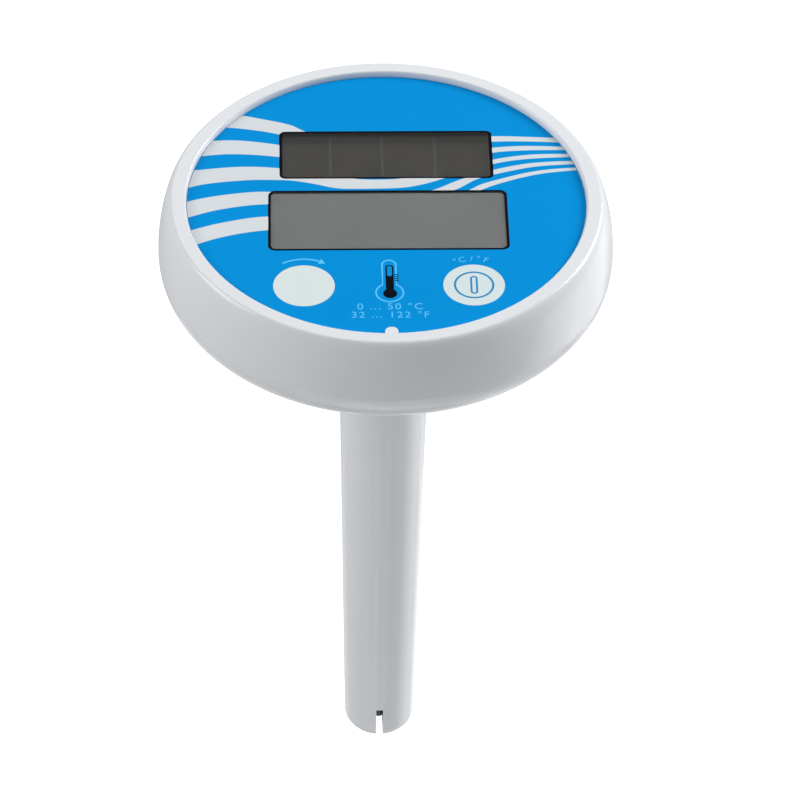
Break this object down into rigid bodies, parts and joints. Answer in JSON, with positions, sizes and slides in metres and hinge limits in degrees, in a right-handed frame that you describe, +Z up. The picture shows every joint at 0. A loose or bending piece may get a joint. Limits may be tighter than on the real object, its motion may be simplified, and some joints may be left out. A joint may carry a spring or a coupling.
{
  "type": "floating pool thermometer",
  "caption": "Round float head with a solar cell, display and two press keys in a recessed face, on a tapered stem with a slotted sensor end.",
  "frame": {"origin": "centre of the stem's lower end, on the axis of head and stem", "axes": "+Z up the stem to the face, +X to the user's right when the display reads upright, -Y towards the user"},
  "size_m": [0.11, 0.11, 0.1806],
  "materials": {
    "white_abs": "glossy moulded",
    "blue_film": "printed film, satin",
    "key_film": "printed film, matt",
    "adhesive": "translucent",
    "clear_lens": "clear, polished",
    "black_foam": "matt",
    "silicone": "satin",
    "contact_silicone": "satin",
    "solar_glass": "coated glass",
    "lcd_glass": "polarised glass",
    "reflector_film": "metallised film",
    "natural_abs": "moulded",
    "board_laminate": "solder mask",
    "black_plastic": "moulded",
    "switch_plunger": "moulded",
    "screw_steel": "zinc plated",
    "ballast_steel": "turned",
    "red_lead": "insulated wire",
    "black_lead": "insulated wire",
    "potting": "cured epoxy"
  },
  "bodies": {
    "root": {"backup_cell": "screw_steel", "ballast_weight": "ballast_steel", "board_screws": "screw_steel", "bulkhead_seal": "silicone", "cell_tab_negative": "screw_steel", "cell_tab_positive": "screw_steel", "chip_components": "black_plastic", "clock_crystal": "screw_steel", "contact_strips": "contact_silicone", "controller_blob": "black_plastic", "graphic_overlay": "blue_film", "housing_screws": "screw_steel", "housing_seal": "silicone", "lcd_gasket": "black_foam", "lcd_holder": "natural_abs", "lcd_panel": "lcd_glass", "lcd_reflector": "reflector_film", "lcd_window": "clear_lens", "lower_housing": "white_abs", "main_board": "board_laminate", "overlay_adhesive": "adhesive", "probe_bulkhead": "natural_abs", "probe_header": "natural_abs", "probe_lead_black": "black_lead", "probe_lead_red": "red_lead", "probe_plug": "natural_abs", "probe_potting": "potting", "reset_switch": "black_plastic", "smoothing_capacitor": "black_plastic", "solar_cell": "solar_glass", "solar_cell_pad": "silicone", "solar_gasket": "black_foam", "solar_lead_black": "black_lead", "solar_lead_red": "red_lead", "solar_window": "clear_lens", "stem_gasket": "silicone", "stem_screws": "screw_steel", "stem_tube": "white_abs", "thermistor": "black_plastic", "unit_switch": "black_plastic", "upper_housing": "white_abs"},
    "reset_key": {"reset_key_pad": "key_film", "reset_key_actuator": "natural_abs", "reset_switch_plunger": "switch_plunger"},
    "unit_key": {"unit_key_pad": "key_film", "unit_key_actuator": "natural_abs", "unit_switch_plunger": "switch_plunger"}
  },
  "joints": [
    {"name": "reset_press", "type": "slide", "parent": "root", "child": "reset_key", "axis": [0, 0, -1], "range_m": [0, 0.00025], "stiffness_N_per_m": 5000},
    {"name": "unit_press", "type": "slide", "parent": "root", "child": "unit_key", "axis": [0, 0, -1], "range_m": [0, 0.00025], "stiffness_N_per_m": 5000}
  ]
}
